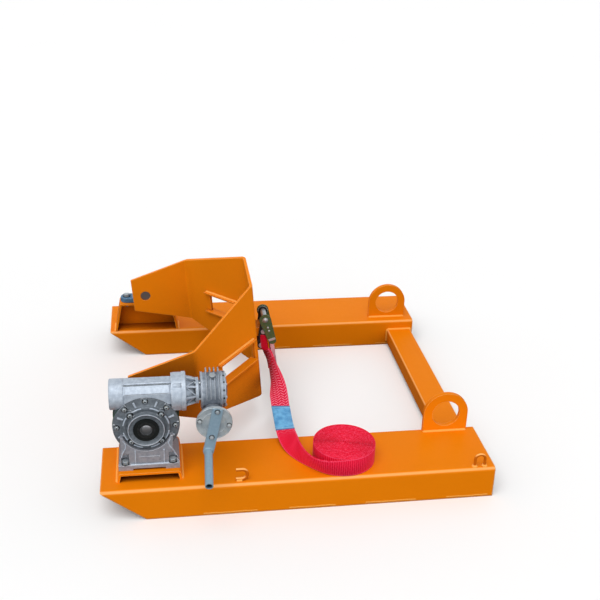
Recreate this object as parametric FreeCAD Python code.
import FreeCAD, Part
import math
import os

from FreeCAD import Vector

# Drum tipper for fork trucks: two fork sleeves joined by a crossbeam, and between them a bent cradle
# that clasps a steel drum and is turned by a hand crank through two worm gearboxes in series.
# Lengths are millimetres, angles degrees. X runs from the nose end to the truck end, Y from the crank
# side to the far side, Z up from the floor. Pieces are placed from the nose end, the front sleeve's
# outer face and the floor, and are moved to the middle of the whole object when they are saved.

# Fork sleeves, crossbeam and lifting lugs
SLEEVE_LENGTH = 1000.0
SLEEVE_WIDTH = 200.0
SLEEVE_HEIGHT = 88.0
SLEEVE_WALL = 6.0
SLEEVE_CORNER = 10.0
NOSE_RUN = 110.0
NOSE_EDGE = 4.0
BEAM_WIDTH = 80.0
BEAM_HEIGHT = 50.0
BEAM_WALL = 5.0
BEAM_CORNER = 7.0
BEAM_SETBACK = 6.0
BEAM_LIFT = 6.0
LUG_RADIUS = 61.0
LUG_HOLE_RADIUS = 38.0
LUG_THICKNESS = 12.0
LUG_RISE = 54.0
LUG_SETBACK = 85.0
FRONT_LUG_INSET = 18.0
REAR_LUG_INSET = 34.0

# Rod hook and rod eye for the strap's loose end
HOOK_ROD = 8.0
HOOK_BEND = 13.5
HOOK_LEG = 15.0
HOOK_X = 332.0
HOOK_INSET = 17.0
EYE_ROD = 7.0
EYE_BEND = 13.0
EYE_LEG = 21.0
EYE_SETBACK = 40.0
EYE_INSET = 9.0

# Pivot line of the cradle, and the two bridges that carry it
PIVOT_X = 117.0
SHAFT_RADIUS = 15.0
BRIDGE_PLATE = 6.0
FRONT_BRIDGE_HEIGHT = 25.0
FRONT_BRIDGE_TOP = 152.0
FRONT_BRIDGE_FOOT = 160.0
FRONT_BRIDGE_START = 36.0
FRONT_BRIDGE_DEPTH = 154.0
REAR_BRIDGE_TOP = 166.0
REAR_BRIDGE_FOOT = 200.0
REAR_BRIDGE_INSET = 5.0
REAR_BRIDGE_DEPTH = 58.0

# Main worm gearbox, a cast case with a cover on each side of the wheel
SHAFT_OVER_FOOT = 113.0
CASE_MIDDLE = 105.0
CASE_HALF = 26.0
CASE_RADIUS = 74.0
CASE_BORE = 61.0
COVER_RADIUS = 81.0
COVER_FLANGE = 8.0
COVER_RING_RADIUS = 61.0
COVER_RING_STEP = 8.0
COVER_DOME_RADIUS = 44.0
COVER_DOME_TIP = 35.0
COVER_DOME_STEP = 11.0
SEAL_RADIUS = 31.0
RIM_BOLT_CIRCLE = 71.0
RIM_BOLT_COUNT = 8
RING_BOLT_CIRCLE = 53.0
RING_BOLT_COUNT = 4
PEDESTAL_HALF_DEPTH = 50.0
FOOT_OFFSET = 4.0
FOOT_HALF_WIDTH = 75.0
FOOT_HALF_DEPTH = 55.0
FOOT_THICKNESS = 15.0
FOOT_RELIEF_HALF = 40.0
FOOT_RELIEF = 5.0
FOOT_BOLT_X = 58.0
FOOT_BOLT_Y = 43.0
CENTRE_DISTANCE = 75.0
WORM_RADIUS = 20.0
WHEEL_WIDTH = 36.0
WHEEL_RIM = 12.0
WHEEL_WEB = 14.0
WHEEL_TEETH = 30
TOOTH_DEPTH = 4.0
HUB_RADIUS = 22.5
BARREL_FLATS = 70.0
BARREL_BACK = 72.0
BARREL_BOLT_ROOM = 7.0
BARREL_BORE = 27.0
BARREL_FLANGE_RADIUS = 46.0
BARREL_FLANGE_LENGTH = 36.0
END_CAP_LENGTH = 14.0
END_CAP_RADIUS = 37.5
WORM_LENGTH = 80.0
WORM_SHAFT_RADIUS = 12.0

# Adapter bell and the small worm gearbox that turns the main worm
BELL_LENGTH = 24.0
BELL_BIG = 39.0
BELL_ROOT = 31.0
BELL_SMALL = 21.5
BELL_WALL = 6.0
BELL_RIBS = 8
BELL_RIB_WIDTH = 5.0
BELL_FLANGE_RADIUS = 32.0
BELL_FLANGE_LENGTH = 12.0
BELL_NECK_RADIUS = 24.0
BELL_NECK_LENGTH = 5.0
SMALL_CASE_RADIUS = 43.0
SMALL_CASE_LENGTH = 51.0
SMALL_CASE_WALL = 6.0
SMALL_COVER_LENGTH = 9.0
SMALL_COVER_BOLT_COUNT = 8
SMALL_BAND_STEP = 1.5
SMALL_BAND_WIDTH = 4.0
FIN_COUNT = 4
FIN_THICKNESS = 2.4
FIN_PITCH = 10.0
FIN_RISE = 6.0
PLUG_RADIUS = 7.5
PLUG_HEIGHT = 9.0
PLUG_LEAN = 16.0
PLUG_SINK = 1.0
SMALL_CENTRE_DISTANCE = 46.0
SMALL_WORM_RADIUS = 16.0
SMALL_WORM_LENGTH = 46.0
SMALL_WHEEL_WIDTH = 24.0
SMALL_WHEEL_TEETH = 28
SMALL_TOOTH_DEPTH = 3.0
INPUT_BARREL_RADIUS = 27.0
INPUT_BORE = 18.0
INPUT_FRONT_LENGTH = 61.0
INPUT_REAR_LENGTH = 47.0
INPUT_COVER_LENGTH = 6.0
INPUT_SHAFT_RADIUS = 9.0

# Crank
DISC_RADIUS = 44.0
DISC_THICKNESS = 8.0
DISC_HUB_RADIUS = 15.0
DISC_HUB_LENGTH = 8.0
DISC_BOLT_CIRCLE = 36.0
CRANK_LEAN = 11.5
ARM_WIDTH = 26.0
ARM_THICKNESS = 6.0
ARM_ABOVE = 42.0
ARM_BELOW = 83.0
HANDLE_RADIUS = 10.0
HANDLE_WALL = 2.5
HANDLE_DROOP = 13.0
HANDLE_LENGTH = 110.0
KEY_WIDTH = 8.0
KEY_HEIGHT = 7.0
KEY_LENGTH = 90.0

# Far pivot: pillow block with an insert bearing
PILLOW_CENTRE = 43.0
PILLOW_LENGTH = 160.0
PILLOW_WIDTH = 46.0
PILLOW_BASE = 16.0
PILLOW_EAR_ROUND = 19.0
PILLOW_RING_RADIUS = 36.0
PILLOW_RING_WIDTH = 34.0
PILLOW_BOLT_SPACING = 121.0
INSERT_RADIUS = 31.0
INSERT_WIDTH = 38.0

# Cradle, in its own upright frame about the pivot, then leaned to where the crank has left it
CRADLE_LEAN = 5.0
CRADLE_PLATE = 8.0
CRADLE_INSIDE = 590.0
CRADLE_ROOM = 30.0
CRADLE_END = 39.0
CRADLE_END_HALF = 52.0
CRADLE_TAPER = 15.5
CRADLE_RISE = 5.0
CRADLE_BEND_X = 135.0
CRADLE_BACK_X = 304.0
CRADLE_BACK_HALF = 98.0
CRADLE_BEND_RADIUS = 12.0
WINDOW_START = 100.0
WINDOW_LENGTH = 150.0
WINDOW_TOP = 17.0
WINDOW_BOTTOM = -41.0
GUIDE_THICKNESS = 5.0
GUIDE_DEPTH = 26.0
GUIDE_OVERRUN = 17.0
BOSS_RADIUS = 33.0
BOSS_THICKNESS = 12.0
SHAFT_RECESS = 4.0

# Ratchet on the back of the cradle
RATCHET_SPOOL_X = 32.0
RATCHET_SPOOL_Z = 35.0
RATCHET_ANCHOR_X = 15.0
RATCHET_ANCHOR_Z = -47.0
RATCHET_PLATE = 3.0
RATCHET_INSIDE = 52.0
RATCHET_SIDE_GAP = 0.5
RATCHET_TOP_RADIUS = 12.5
RATCHET_ANCHOR_RADIUS = 11.0
RATCHET_SPOOL_RADIUS = 8.0
RATCHET_SLOT = 4.0
RATCHET_WHEEL_RADIUS = 15.0
RATCHET_TEETH = 12
RATCHET_WHEEL_WIDTH = 2.5
RATCHET_BAR_RADIUS = 6.0
LEVER_ANGLE = 13.0
LEVER_TOP_RADIUS = 17.0
LEVER_LENGTH = 70.0
LEVER_END_RADIUS = 11.0
GRIP_ANGLE = 3.0
GRIP_LENGTH = 102.0
GRIP_DEPTH = 12.0
GRIP_SHEET = 2.5
PAWL_THICKNESS = 5.0
PAWL_BAR_START = 40.0
PAWL_BAR_LENGTH = 9.0
PAWL_GAP = 0.6
BRACKET_Z = -4.0
BRACKET_HEIGHT = 26.0
BRACKET_BOLT_RADIUS = 5.0

# Lashing strap: sewn loop on the ratchet's bar, free stretch, and the rest as a flat coil
STRAP_WIDTH = 50.0
STRAP_THICKNESS = 2.6
STRAP_GAP = 1.2
COIL_TURNS = 20
COIL_INNER_RADIUS = 5.0
COIL_X = 616.0
COIL_INSET = 86.0

# Clearances and fastener sizes
SPIN_CLEARANCE = 0.05
MESH_CLEARANCE = 0.3
FACE_CLEARANCE = 0.5
BOLT_HOLE_CLEARANCE = 0.5
SMALL_BOLT = 3.0
SMALL_BOLT_HEAD = 5.0
BELL_BOLT = 2.5
BELL_BOLT_HEAD = 3.5
LARGE_BOLT = 6.0
LARGE_BOLT_HEAD = 9.5
HEAD_SHARE = 1.1

X_AXIS = Vector(1, 0, 0)
Y_AXIS = Vector(0, 1, 0)
Z_AXIS = Vector(0, 0, 1)

# Places worked out from the sizes above
FRAME_GAP = CRADLE_INSIDE + 2 * CRADLE_ROOM
FRAME_WIDTH = 2 * SLEEVE_WIDTH + FRAME_GAP
FRAME_MIDDLE = FRAME_WIDTH / 2
REAR_SLEEVE_Y = SLEEVE_WIDTH + FRAME_GAP
DECK = SLEEVE_HEIGHT
FOOT_PLANE = DECK + FRONT_BRIDGE_HEIGHT
PIVOT_Z = FOOT_PLANE + SHAFT_OVER_FOOT
REAR_BRIDGE_HEIGHT = PIVOT_Z - PILLOW_CENTRE - DECK
WORM_Z = PIVOT_Z + CENTRE_DISTANCE
WHEEL_RADIUS = CENTRE_DISTANCE - WORM_RADIUS
RIM_BOLT_ANGLE = math.radians(360.0 / RIM_BOLT_COUNT)
RIM_BOLT_REACH = RIM_BOLT_CIRCLE * math.cos(RIM_BOLT_ANGLE) + 2 * SMALL_BOLT_HEAD / math.sqrt(3)
BARREL_START = PIVOT_X - BARREL_BACK
FLANGE_START = PIVOT_X + RIM_BOLT_REACH + BARREL_BOLT_ROOM
BARREL_LENGTH = FLANGE_START - BARREL_START
BELL_START = FLANGE_START + BARREL_FLANGE_LENGTH
BELL_FLANGE_START = BELL_START + BELL_LENGTH
SMALL_START = BELL_FLANGE_START + BELL_FLANGE_LENGTH
SMALL_MIDDLE = SMALL_START + (SMALL_CASE_LENGTH + SMALL_CASE_WALL) / 2
SMALL_COVER_START = SMALL_START + SMALL_CASE_LENGTH
INPUT_Z = WORM_Z - SMALL_CENTRE_DISTANCE
SMALL_WHEEL_RADIUS = SMALL_CENTRE_DISTANCE - SMALL_WORM_RADIUS
INPUT_FACE = CASE_MIDDLE - INPUT_FRONT_LENGTH - INPUT_COVER_LENGTH
DISC_BACK = INPUT_FACE - DISC_HUB_LENGTH
ARM_BACK = DISC_BACK - DISC_THICKNESS
BACK_FACE = CRADLE_BACK_X + CRADLE_PLATE
PIVOT = Vector(PIVOT_X, 0, PIVOT_Z)
PILLOW_Y = REAR_SLEEVE_Y + REAR_BRIDGE_INSET + REAR_BRIDGE_DEPTH / 2
HUB_HALF = CASE_HALF + COVER_FLANGE + COVER_RING_STEP + COVER_DOME_STEP + 2 * SPIN_CLEARANCE


def along_y(y):
    return lambda u, v: Vector(u, y, v)


def along_x(x):
    return lambda u, v: Vector(x, u, v)


def along_z(z):
    return lambda u, v: Vector(u, v, z)


def outline(corners, place):
    """Closed face through corners (u, v, radius), each corner rounded by its radius."""
    count = len(corners)
    runs = []
    for i, (u, v, radius) in enumerate(corners):
        point = Vector(u, v, 0)
        before = (Vector(corners[i - 1][0], corners[i - 1][1], 0) - point).normalize()
        after = corners[(i + 1) % count]
        after = (Vector(after[0], after[1], 0) - point).normalize()
        half = before.getAngle(after) / 2
        reach = radius / math.tan(half)
        middle = point + (before + after).normalize() * (radius / math.sin(half) - radius) if radius else None
        runs.append((point + before * reach, middle, point + after * reach))
    edges = []
    for i, (start, middle, end) in enumerate(runs):
        if middle:
            arc = Part.Arc(place(start.x, start.y), place(middle.x, middle.y), place(end.x, end.y))
            edges.append(arc.toShape())
        following = runs[(i + 1) % count][0]
        edges.append(Part.makeLine(place(end.x, end.y), place(following.x, following.y)))
    return Part.Face(Part.Wire(edges))


def plain(points):
    """Corners with no rounding."""
    return [(u, v, 0) for u, v in points]


def prism_y(corners, start, depth):
    return outline(corners, along_y(start)).extrude(Y_AXIS * depth)


def prism_x(corners, start, length):
    return outline(corners, along_x(start)).extrude(X_AXIS * length)


def prism_z(corners, start, height):
    return outline(corners, along_z(start)).extrude(Z_AXIS * height)


def box(x, y, z, length, depth, height):
    return Part.makeBox(length, depth, height, Vector(x, y, z))


def cylinder(centre, axis, radius, length):
    return Part.makeCylinder(radius, length, centre, axis)


def ring(centre, axis, outer, inner, length):
    return cylinder(centre, axis, outer, length).cut(cylinder(centre, axis, inner, length))


def hexagon(centre, axis, half_flats, height):
    """Six-sided bolt head or nut that stands on its centre along the axis."""
    corner = half_flats / math.cos(math.pi / 6)
    turn = FreeCAD.Rotation(Z_AXIS, axis)
    points = []
    for k in range(7):
        angle = math.radians(60 * k)
        points.append(centre + turn.multVec(Vector(corner * math.cos(angle), corner * math.sin(angle), 0)))
    return Part.Face(Part.makePolygon(points)).extrude(axis * height)


def bolt(seat, axis, radius, half_flats, shank):
    """Hexagon bolt whose head stands on its seat along the axis and whose shank goes the other way."""
    head = hexagon(seat, axis, half_flats, HEAD_SHARE * radius)
    return head.fuse(cylinder(seat - axis * shank, axis, radius, shank))


def circle_places(centre, axis, first, radius, count, start):
    """Points spaced evenly on a circle, from a first direction turned by the start angle."""
    places = []
    for k in range(count):
        turn = FreeCAD.Rotation(axis, start + 360.0 * k / count)
        places.append(centre + turn.multVec(first) * radius)
    return places


def toothed_disc(centre, axis, radius, depth, teeth, width):
    """Disc with straight trapezoid teeth whose tips lie on the radius."""
    turn = FreeCAD.Rotation(Z_AXIS, axis)
    points = []
    pitch = 2 * math.pi / teeth
    for k in range(teeth):
        for share, reach in ((-0.32, radius - depth), (-0.16, radius), (0.16, radius), (0.32, radius - depth)):
            angle = (k + share) * pitch
            flat = Vector(reach * math.cos(angle), reach * math.sin(angle), 0)
            points.append(centre + turn.multVec(flat))
    points.append(points[0])
    return Part.Face(Part.makePolygon(points)).extrude(axis * width)


def rod(edges, start, direction, radius):
    """Round rod along a path of lines and arcs."""
    profile = Part.Wire(Part.makeCircle(radius, start, direction))
    return Part.Wire(edges).makePipeShell([profile], True, False)


def link(first, first_radius, second, second_radius, start, depth):
    """Flat link in the XZ plane round two centres, its sides tangent to both end circles."""
    run = second - first
    length = run.Length
    base = math.atan2(run.y, run.x)
    spread = math.acos((first_radius - second_radius) / length)

    def on_circle(centre, radius, angle):
        return Vector(centre.x + radius * math.cos(angle), start, centre.y + radius * math.sin(angle))

    a1 = on_circle(first, first_radius, base + spread)
    a2 = on_circle(first, first_radius, base + math.pi)
    a3 = on_circle(first, first_radius, base - spread)
    b1 = on_circle(second, second_radius, base - spread)
    b2 = on_circle(second, second_radius, base)
    b3 = on_circle(second, second_radius, base + spread)
    edges = [Part.Arc(a1, a2, a3).toShape(), Part.makeLine(a3, b1)]
    edges += [Part.Arc(b1, b2, b3).toShape(), Part.makeLine(b3, a1)]
    return Part.Face(Part.Wire(edges)).extrude(Y_AXIS * depth)


def leaned(shape):
    """Turn a piece of the cradle from its upright frame to the pivot and the crank's lean."""
    placed = shape.copy()
    placed.translate(PIVOT)
    placed.rotate(PIVOT, Y_AXIS, -CRADLE_LEAN)
    return placed


def leaned_point(x, y, z):
    """World place of a point in the cradle's upright frame."""
    turn = FreeCAD.Rotation(Y_AXIS, -CRADLE_LEAN)
    return PIVOT + turn.multVec(Vector(x, y, z))


# Frame

def nose_slope():
    """Slope under the nose: the rise left above the floor and its length."""
    rise = SLEEVE_HEIGHT - NOSE_EDGE
    return rise, math.hypot(rise, NOSE_RUN)


def sleeve_channel(y):
    """Bent channel, open below, with its nose cut off on a slope."""
    corner = SLEEVE_CORNER
    inner = corner - SLEEVE_WALL
    far = y + SLEEVE_WIDTH
    top = SLEEVE_HEIGHT - SLEEVE_WALL
    corners = [(y, 0, 0), (y, SLEEVE_HEIGHT, corner), (far, SLEEVE_HEIGHT, corner), (far, 0, 0)]
    corners += [(far - SLEEVE_WALL, 0, 0), (far - SLEEVE_WALL, top, inner)]
    corners += [(y + SLEEVE_WALL, top, inner), (y + SLEEVE_WALL, 0, 0)]
    rise, _ = nose_slope()
    wedge = prism_y(plain([(0, 0), (NOSE_RUN, 0), (0, rise)]), y, SLEEVE_WIDTH)
    return prism_x(corners, 0, SLEEVE_LENGTH).cut(wedge)


def nose_inner_x(z):
    """Where the inner face of the nose plate stands at a height."""
    rise, length = nose_slope()
    return (SLEEVE_WALL * length + (rise - z) * NOSE_RUN) / rise


def nose_plate(y):
    """Plate that closes the sloping nose between the channel's sides."""
    rise, _ = nose_slope()
    top = SLEEVE_HEIGHT - SLEEVE_WALL
    corners = [(NOSE_RUN, 0), (nose_inner_x(0), 0), (nose_inner_x(top), top)]
    corners += [((rise - top) * NOSE_RUN / rise, top)]
    plate = prism_y(plain(corners), y + SLEEVE_WALL, SLEEVE_WIDTH - 2 * SLEEVE_WALL)
    return plate.cut(sleeve_channel(y))


def sleeve_floor(y):
    """Bottom plate welded between the channel's sides, flush with their lower edges."""
    corners = [(nose_inner_x(0), 0), (SLEEVE_LENGTH, 0), (SLEEVE_LENGTH, SLEEVE_WALL)]
    corners += [(nose_inner_x(SLEEVE_WALL), SLEEVE_WALL)]
    return prism_y(plain(corners), y + SLEEVE_WALL, SLEEVE_WIDTH - 2 * SLEEVE_WALL)


def crossbeam():
    """Rectangular tube between the sleeves at the truck end."""
    right = SLEEVE_LENGTH - BEAM_SETBACK
    left = right - BEAM_WIDTH
    low, high = BEAM_LIFT, BEAM_LIFT + BEAM_HEIGHT
    wall = BEAM_WALL
    outer = [(left, low), (right, low), (right, high), (left, high)]
    inner = [(left + wall, low + wall), (right - wall, low + wall)]
    inner += [(right - wall, high - wall), (left + wall, high - wall)]
    tube = prism_y([(u, v, BEAM_CORNER) for u, v in outer], SLEEVE_WIDTH, FRAME_GAP)
    hollow = prism_y([(u, v, BEAM_CORNER - wall) for u, v in inner], SLEEVE_WIDTH, FRAME_GAP)
    return tube.cut(hollow)


def lug(y):
    """Eye plate that a chain to the truck hooks into."""
    centre = SLEEVE_LENGTH - LUG_SETBACK
    height = DECK + LUG_RISE
    left, right = centre - LUG_RADIUS, centre + LUG_RADIUS
    top = Part.Arc(Vector(right, y, height), Vector(centre, y, height + LUG_RADIUS), Vector(left, y, height))
    edges = [Part.makeLine(Vector(left, y, DECK), Vector(right, y, DECK))]
    edges += [Part.makeLine(Vector(right, y, DECK), Vector(right, y, height)), top.toShape()]
    edges += [Part.makeLine(Vector(left, y, height), Vector(left, y, DECK))]
    plate = Part.Face(Part.Wire(edges)).extrude(Y_AXIS * LUG_THICKNESS)
    return plate.cut(cylinder(Vector(centre, y, height), Y_AXIS, LUG_HOLE_RADIUS, LUG_THICKNESS))


def stow_hook():
    """Rod bent to a U on its side, welded down by its lower leg and open towards the nose."""
    low = DECK + HOOK_ROD / 2
    y = HOOK_INSET
    turn = HOOK_X + HOOK_LEG
    high = low + 2 * HOOK_BEND
    start = Vector(HOOK_X, y, low)
    lower, upper = Vector(turn, y, low), Vector(turn, y, high)
    arc = Part.Arc(lower, Vector(turn + HOOK_BEND, y, low + HOOK_BEND), upper)
    end = Vector(HOOK_X, y, high)
    edges = [Part.makeLine(start, lower), arc.toShape(), Part.makeLine(upper, end)]
    return rod(edges, start, X_AXIS, HOOK_ROD / 2)


def stow_eye():
    """Small closed rod eye standing on the sleeve."""
    x = SLEEVE_LENGTH - EYE_SETBACK
    y = EYE_INSET + EYE_ROD / 2
    left, right = x - EYE_BEND, x + EYE_BEND
    height = DECK + EYE_LEG
    start = Vector(left, y, DECK)
    arc = Part.Arc(Vector(left, y, height), Vector(x, y, height + EYE_BEND), Vector(right, y, height))
    edges = [Part.makeLine(start, Vector(left, y, height)), arc.toShape()]
    edges += [Part.makeLine(Vector(right, y, height), Vector(right, y, DECK))]
    return rod(edges, start, Z_AXIS, EYE_ROD / 2)


def bridge_room(middle, corners, start, depth):
    """All that a bridge spans from its outer faces inwards."""
    return prism_y([(middle + u, v, r) for u, v, r in corners[:4]], start, depth)


def bridge(middle, top_width, foot_width, height, start, depth, holes):
    """Bent plate standing on a sleeve with splayed legs, a closed back and holes down through its top."""
    top = DECK + height
    under = top - BRIDGE_PLATE
    half_top, half_foot = top_width / 2, foot_width / 2
    inner = BRIDGE_PLATE / 3
    outer = inner + BRIDGE_PLATE
    corners = [(-half_foot, DECK, 0), (-half_top, top, outer), (half_top, top, outer)]
    corners += [(half_foot, DECK, 0), (half_foot - BRIDGE_PLATE, DECK, 0)]
    corners += [(half_top - BRIDGE_PLATE, under, inner), (BRIDGE_PLATE - half_top, under, inner)]
    corners += [(BRIDGE_PLATE - half_foot, DECK, 0)]
    shape = prism_y([(middle + u, v, r) for u, v, r in corners], start, depth)
    wall = [(-half_foot, DECK), (-half_top, under), (half_top, under), (half_foot, DECK)]
    back = prism_y(plain([(middle + u, v) for u, v in wall]), start + depth - BRIDGE_PLATE, BRIDGE_PLATE)
    shape = shape.fuse(back.common(bridge_room(middle, corners, start, depth))).removeSplitter()
    for x, y in holes:
        hole = LARGE_BOLT + BOLT_HOLE_CLEARANCE
        shape = shape.cut(cylinder(Vector(x, y, DECK), Z_AXIS, hole, height))
    return shape


def foot_bolt_places():
    """The main gearbox's four foot bolts."""
    centre = PIVOT_X + FOOT_OFFSET
    return [(centre + sx * FOOT_BOLT_X, CASE_MIDDLE + sy * FOOT_BOLT_Y) for sx in (-1, 1) for sy in (-1, 1)]


def pillow_bolt_places():
    return [(PIVOT_X + side * PILLOW_BOLT_SPACING / 2, PILLOW_Y) for side in (-1, 1)]


def through_bolts(places, seat, grip):
    """Hexagon bolts from above, each with its nut under the plate."""
    solids = []
    for x, y in places:
        shank = grip + 2 * HEAD_SHARE * LARGE_BOLT
        solids.append(bolt(Vector(x, y, seat), Z_AXIS, LARGE_BOLT, LARGE_BOLT_HEAD, shank))
        nut = hexagon(Vector(x, y, seat - grip - HEAD_SHARE * LARGE_BOLT), Z_AXIS, LARGE_BOLT_HEAD,
                      HEAD_SHARE * LARGE_BOLT)
        bore = cylinder(Vector(x, y, DECK), Z_AXIS, LARGE_BOLT + SPIN_CLEARANCE, seat)
        solids.append(nut.cut(bore))
    return Part.makeCompound(solids)


# Main gearbox

def wheel_axis(y):
    return Vector(PIVOT_X, y, PIVOT_Z)


def worm_axis(x):
    return Vector(x, CASE_MIDDLE, WORM_Z)


def octagon(half_flats):
    corner = half_flats * math.tan(math.pi / 8)
    points = [(half_flats, corner), (corner, half_flats), (-corner, half_flats), (-half_flats, corner)]
    points += [(-half_flats, -corner), (-corner, -half_flats), (corner, -half_flats), (half_flats, -corner)]
    return [(CASE_MIDDLE + u, WORM_Z + v) for u, v in points]


def pedestal():
    """Foot of the main case: it rises to hug the cover rings, and stands on four pads."""
    base = FOOT_PLANE
    waist = base + 0.6 * (SHAFT_OVER_FOOT - COVER_RING_RADIUS) + FOOT_THICKNESS
    shoulder = PIVOT_Z - COVER_RING_RADIUS / 3
    arm = COVER_RING_RADIUS + 3
    centre = PIVOT_X + FOOT_OFFSET
    left, right = centre - FOOT_HALF_WIDTH, centre + FOOT_HALF_WIDTH
    corners = [(right, base), (right, base + FOOT_THICKNESS), (PIVOT_X + arm - 3, waist), (PIVOT_X + arm, shoulder)]
    corners += [(PIVOT_X - arm, shoulder), (PIVOT_X - arm + 3, waist), (left, base + FOOT_THICKNESS), (left, base)]
    start = CASE_MIDDLE - PEDESTAL_HALF_DEPTH
    body = prism_y(plain(corners), start, 2 * PEDESTAL_HALF_DEPTH)
    pad = box(left, CASE_MIDDLE - FOOT_HALF_DEPTH, base,
              2 * FOOT_HALF_WIDTH, 2 * FOOT_HALF_DEPTH, FOOT_THICKNESS)
    relief = box(centre - FOOT_RELIEF_HALF, CASE_MIDDLE - FOOT_HALF_DEPTH, base,
                 2 * FOOT_RELIEF_HALF, 2 * FOOT_HALF_DEPTH, FOOT_RELIEF)
    pockets = []
    for x, y in foot_bolt_places():
        pocket = LARGE_BOLT_HEAD / math.cos(math.pi / 6) + 1
        pockets.append(cylinder(Vector(x, y, base + FOOT_THICKNESS), Z_AXIS, pocket, 2 * FOOT_THICKNESS))
        pockets.append(cylinder(Vector(x, y, base), Z_AXIS, LARGE_BOLT + BOLT_HOLE_CLEARANCE, FOOT_THICKNESS))
    return body.fuse(pad).cut([relief] + pockets)


def gearbox_case():
    """Casting round the worm wheel, with the worm's octagonal barrel above it and the foot below."""
    start = CASE_MIDDLE - CASE_HALF
    drum = cylinder(wheel_axis(start), Y_AXIS, CASE_RADIUS, 2 * CASE_HALF)
    barrel = prism_x(plain(octagon(BARREL_FLATS / 2)), BARREL_START, BARREL_LENGTH)
    barrel = barrel.fuse(cylinder(worm_axis(FLANGE_START), X_AXIS, BARREL_FLANGE_RADIUS, BARREL_FLANGE_LENGTH))
    foot = pedestal()
    reach = FOOT_HALF_DEPTH + CASE_HALF
    for side in (-1, 1):
        face = CASE_MIDDLE + side * CASE_HALF
        out = Y_AXIS * side
        barrel = barrel.cut(cylinder(wheel_axis(face), out, COVER_RADIUS + FACE_CLEARANCE, reach))
        hug = cylinder(wheel_axis(face), out, COVER_RING_RADIUS + FACE_CLEARANCE, reach)
        foot = foot.cut([hug, cylinder(wheel_axis(face), out, COVER_RADIUS + FACE_CLEARANCE, COVER_FLANGE)])
    cuts = [cylinder(wheel_axis(start), Y_AXIS, CASE_BORE, 2 * CASE_HALF)]
    cuts.append(cylinder(worm_axis(BARREL_START), X_AXIS, BARREL_BORE, BARREL_LENGTH + BARREL_FLANGE_LENGTH))
    return drum.fuse([barrel, foot]).cut(cuts).removeSplitter()


def rim_bolt_places(y):
    return circle_places(wheel_axis(y), Y_AXIS, X_AXIS, RIM_BOLT_CIRCLE, RIM_BOLT_COUNT, 0)


def ring_bolt_places(y):
    return circle_places(wheel_axis(y), Y_AXIS, X_AXIS, RING_BOLT_CIRCLE, RING_BOLT_COUNT, 45)


def gearbox_cover(side):
    """Side cover in steps: bolted flange, raised ring and dome with the seal's bore."""
    face = CASE_MIDDLE + side * CASE_HALF
    out = Y_AXIS * side
    ring_face = face + side * COVER_FLANGE
    dome_face = ring_face + side * COVER_RING_STEP
    flange = cylinder(wheel_axis(face), out, COVER_RADIUS, COVER_FLANGE)
    step = cylinder(wheel_axis(ring_face), out, COVER_RING_RADIUS, COVER_RING_STEP)
    dome = Part.makeCone(COVER_DOME_RADIUS, COVER_DOME_TIP, COVER_DOME_STEP, wheel_axis(dome_face), out)
    depth = COVER_FLANGE + COVER_RING_STEP + COVER_DOME_STEP
    cuts = [cylinder(wheel_axis(face), out, SEAL_RADIUS, depth)]
    for place in rim_bolt_places(face):
        cuts.append(cylinder(place, out, SMALL_BOLT + BOLT_HOLE_CLEARANCE, COVER_FLANGE))
    for place in ring_bolt_places(ring_face):
        cuts.append(cylinder(place, out, SMALL_BOLT + BOLT_HOLE_CLEARANCE, COVER_RING_STEP))
    return flange.fuse([step, dome]).cut(cuts).removeSplitter()


def cover_bolts():
    """Rim bolts and ring bolts of both side covers."""
    solids = []
    for side in (-1, 1):
        face = CASE_MIDDLE + side * CASE_HALF
        out = Y_AXIS * side
        ring_face = face + side * COVER_FLANGE
        for place in rim_bolt_places(ring_face):
            below = place.z < PIVOT_Z - 1
            if not below:
                solids.append(bolt(place, out, SMALL_BOLT, SMALL_BOLT_HEAD, COVER_FLANGE))
        for place in ring_bolt_places(ring_face + side * COVER_RING_STEP):
            solids.append(bolt(place, out, SMALL_BOLT, SMALL_BOLT_HEAD, COVER_RING_STEP))
    return Part.makeCompound(solids)


def hub_ring(side, inset, width, outer):
    """Ring round the wheel's hub inside a cover, such as a bearing or a lip seal."""
    face = CASE_MIDDLE + side * (CASE_HALF + inset)
    return ring(wheel_axis(face), Y_AXIS * side, outer - SPIN_CLEARANCE, HUB_RADIUS + SPIN_CLEARANCE, width)


def wheel_bearings():
    width = COVER_FLANGE + COVER_RING_STEP - FACE_CLEARANCE
    return Part.makeCompound([hub_ring(side, FACE_CLEARANCE, width, SEAL_RADIUS) for side in (-1, 1)])


def hub_seals():
    inset = COVER_FLANGE + COVER_RING_STEP + FACE_CLEARANCE
    width = COVER_DOME_STEP - 2 * FACE_CLEARANCE
    return Part.makeCompound([hub_ring(side, inset, width, SEAL_RADIUS) for side in (-1, 1)])


def barrel_end_cap():
    """Cap over the worm's blind end, with a spigot in the barrel's bore."""
    start = BARREL_START - END_CAP_LENGTH
    cap = cylinder(worm_axis(start), X_AXIS, END_CAP_RADIUS, END_CAP_LENGTH)
    return cap.cut(cylinder(worm_axis(start + END_CAP_LENGTH / 2), X_AXIS, BARREL_BORE, END_CAP_LENGTH))


def worm_bearing_places():
    """Start of each worm bearing along X: inside the blind end and inside the flange."""
    width = WORM_SHAFT_RADIUS
    return BARREL_START + width / 2, BELL_START - 2 * width


def worm_bearings():
    rings = []
    for x in worm_bearing_places():
        rings.append(ring(worm_axis(x), X_AXIS, BARREL_BORE - SPIN_CLEARANCE,
                          WORM_SHAFT_RADIUS + SPIN_CLEARANCE, WORM_SHAFT_RADIUS))
    return Part.makeCompound(rings)


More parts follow.
